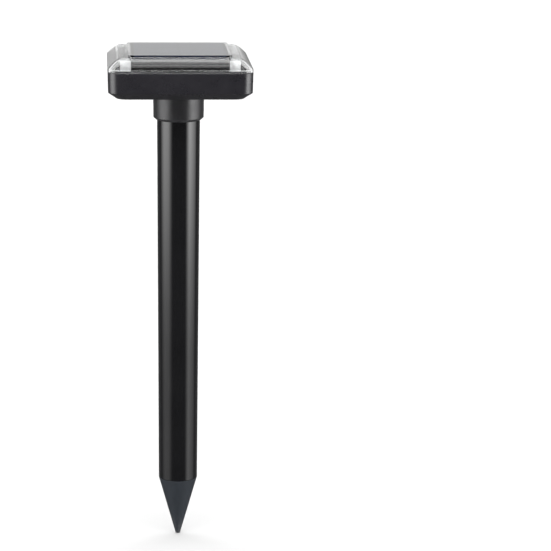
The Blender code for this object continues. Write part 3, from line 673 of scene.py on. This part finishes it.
# ---------------------------------------------------------------- studio
def studio_world():
    """White room light: two tall soft sources at the sides that fade towards the floor, a white wall behind."""
    world = bpy.data.worlds.new("studio")
    scene.world = world
    world.use_nodes = True
    nt = world.node_tree
    nt.nodes.clear()

    def node(kind, **props):
        n = nt.nodes.new(kind)
        for k, v in props.items():
            setattr(n, k, v)
        return n

    def calc(op, a, b=None, c=None):
        n = node("ShaderNodeMath", operation=op)
        for i, v in enumerate((a, b, c)):
            if v is None:
                continue
            if isinstance(v, (int, float)):
                n.inputs[i].default_value = v
            else:
                nt.links.new(v, n.inputs[i])
        return n.outputs[0]

    def step(value, lo, hi, a=0.0, b=1.0):
        n = node("ShaderNodeMapRange", interpolation_type="SMOOTHSTEP")
        for key, v in (("From Min", lo), ("From Max", hi), ("To Min", a), ("To Max", b)):
            n.inputs[key].default_value = v
        nt.links.new(value, n.inputs["Value"])
        return n.outputs["Result"]

    coord = node("ShaderNodeTexCoord")
    split = node("ShaderNodeSeparateXYZ")
    nt.links.new(coord.outputs["Generated"], split.inputs[0])
    x, y, z = split.outputs
    az = calc("MULTIPLY", calc("ARCTAN2", x, calc("MULTIPLY", y, -1.0)), 180 / math.pi)   # 0 towards -Y, +90 towards +X
    el = calc("MULTIPLY", calc("ARCSINE", z), 180 / math.pi)

    # each soft source swells in from its inner edge and thins out towards the back of the room
    rise = calc("ADD", step(el, -16.0, -7.5, 0.0, 0.80), 0.20)
    rise_left = calc("ADD", step(el, -16.0, -7.5, 0.0, 0.86), 0.14)
    fade = calc("ADD", step(el, 2.0, 12.0, 0.72, 0.0), step(el, 38.0, 62.0, 0.28, 0.0))
    turn = calc("MULTIPLY", az, -1.0)
    left = calc("MULTIPLY", calc("MULTIPLY", step(turn, 32.0, 63.0), step(turn, 78.0, 117.0, 1.0, 0.0)), LEFT_BOX)
    left = calc("MULTIPLY", left, rise_left)
    thin = calc("MULTIPLY_ADD", az, -1.0 / 50.0, 112.0 / 50.0)
    thin = calc("MAXIMUM", calc("MINIMUM", thin, 1.0), 0.0)
    right = calc("MULTIPLY", calc("MULTIPLY", step(az, 36.0, 64.0), thin), RIGHT_BOX)
    boxes = calc("MULTIPLY", calc("ADD", left, calc("MULTIPLY", right, rise)), fade)
    low = calc("ADD", step(el, -7.0, 2.0, WALL_LOW, WALL_BACK), step(el, 12.0, 45.0, 0.0, WALL_HIGH))
    behind = step(calc("ABSOLUTE", az), 112.0, 128.0)
    back = calc("MULTIPLY", behind, low)

    # long lamps overhead, running from side to side: 0 is the back horizon, 90 straight up, 180 the front horizon
    over = calc("MULTIPLY", calc("ARCTAN2", z, y), 180 / math.pi)
    ends = step(calc("ABSOLUTE", x), 0.55, 0.85, 1.0, 0.0)

    def lamp(a, b, c, d, power):
        return calc("MULTIPLY", calc("MULTIPLY", step(over, a, b), step(over, c, d, 1.0, 0.0)), power)

    top = calc("MULTIPLY", ends, calc("ADD", calc("ADD", lamp(48.0, 55.0, 78.0, 83.0, LAMP_BACK),
                                                  lamp(90.0, 93.0, 99.0, 102.0, LAMP_TOP)),
                                      lamp(112.0, 120.0, 140.0, 152.0, LAMP_FRONT)))
    room = calc("ADD", calc("ADD", boxes, back), calc("ADD", top, ROOM))
    lit = node("ShaderNodeBackground")
    nt.links.new(room, lit.inputs["Strength"])
    white = node("ShaderNodeBackground")
    white.inputs["Color"].default_value = (1, 1, 1, 1)
    white.inputs["Strength"].default_value = 1.0
    path = node("ShaderNodeLightPath")
    clear = calc("MAXIMUM", path.outputs["Is Camera Ray"], calc("MULTIPLY", path.outputs["Is Transmission Ray"], behind))
    mix = node("ShaderNodeMixShader")
    nt.links.new(clear, mix.inputs[0])
    nt.links.new(lit.outputs[0], mix.inputs[1])
    nt.links.new(white.outputs[0], mix.inputs[2])
    out = node("ShaderNodeOutputWorld")
    nt.links.new(mix.outputs[0], out.inputs[0])
    world.cycles.sampling_method = "MANUAL"
    world.cycles.sample_map_resolution = 1024


LEFT_BOX, RIGHT_BOX, ROOM = 7.6, 11.2, 0.12
WALL_BACK, WALL_LOW, WALL_HIGH = 0.87, 0.06, 1.4
LAMP_BACK, LAMP_TOP, LAMP_FRONT = 4.6, 2.6, 7.3
studio_world()

# pale floor
bm = bmesh.new()
bmesh.ops.create_grid(bm, x_segments=8, y_segments=8, size=6.0)
floor = mesh_object("floor", bm)
floor.location.z = -0.0003
floor_mat = Mat("floor_paper", (0.86, 0.86, 0.86), 0.9)
paper = floor_mat.noise(900, 3.0, 0.6)
floor_mat.color(floor_mat.mix(floor_mat.ramp(paper, 0.3, 0.7), (0.400, 0.400, 0.400), (0.410, 0.410, 0.410)))
floor.data.materials.append(floor_mat.mat)
floor.visible_glossy = False


# ---------------------------------------------------------------- camera
def camera(az, el, dist, target, px, py, roll, focal):
    """Aims the camera so that target falls on pixel (px, py) of a 551 x 551 frame."""
    back = Vector((math.sin(az) * math.cos(el), -math.cos(az) * math.cos(el), math.sin(el)))
    fwd = -back
    yaw = math.atan((px - 275.5) / focal)
    pitch = math.atan(-(py - 275.5) / focal)
    f1 = Matrix.Rotation(yaw, 3, "Z") @ fwd
    r1 = f1.cross(Vector((0, 0, 1))).normalized()
    f2 = Matrix.Rotation(-pitch, 3, r1) @ f1
    u2 = r1.cross(f2)
    spin = Matrix.Rotation(roll, 3, f2)
    r3, u3 = spin @ r1, spin @ u2
    cam = bpy.data.objects.new("camera", bpy.data.cameras.new("camera"))
    scene.collection.objects.link(cam)
    cam.data.sensor_width = 36.0
    cam.data.lens = focal * 36.0 / 551.0
    cam.data.clip_start, cam.data.clip_end = 0.05, 50.0
    turn = Matrix((r3, u3, -f2)).transposed()
    cam.matrix_world = Matrix.Translation(target + back * dist) @ turn.to_4x4()
    scene.camera = cam


camera(-0.03391, 0.16425, 1.6, Vector((0, 0, 0.3)), 175.63, 126.30, -0.011709, 2279.7)

scene.view_settings.view_transform = "Standard"
scene.view_settings.look = "None"
scene.cycles.use_denoising = True
scene.cycles.max_bounces = 16
scene.cycles.transmission_bounces = 14
scene.cycles.glossy_bounces = 6
scene.cycles.transparent_max_bounces = 12
scene.cycles.sample_clamp_indirect = 8.0
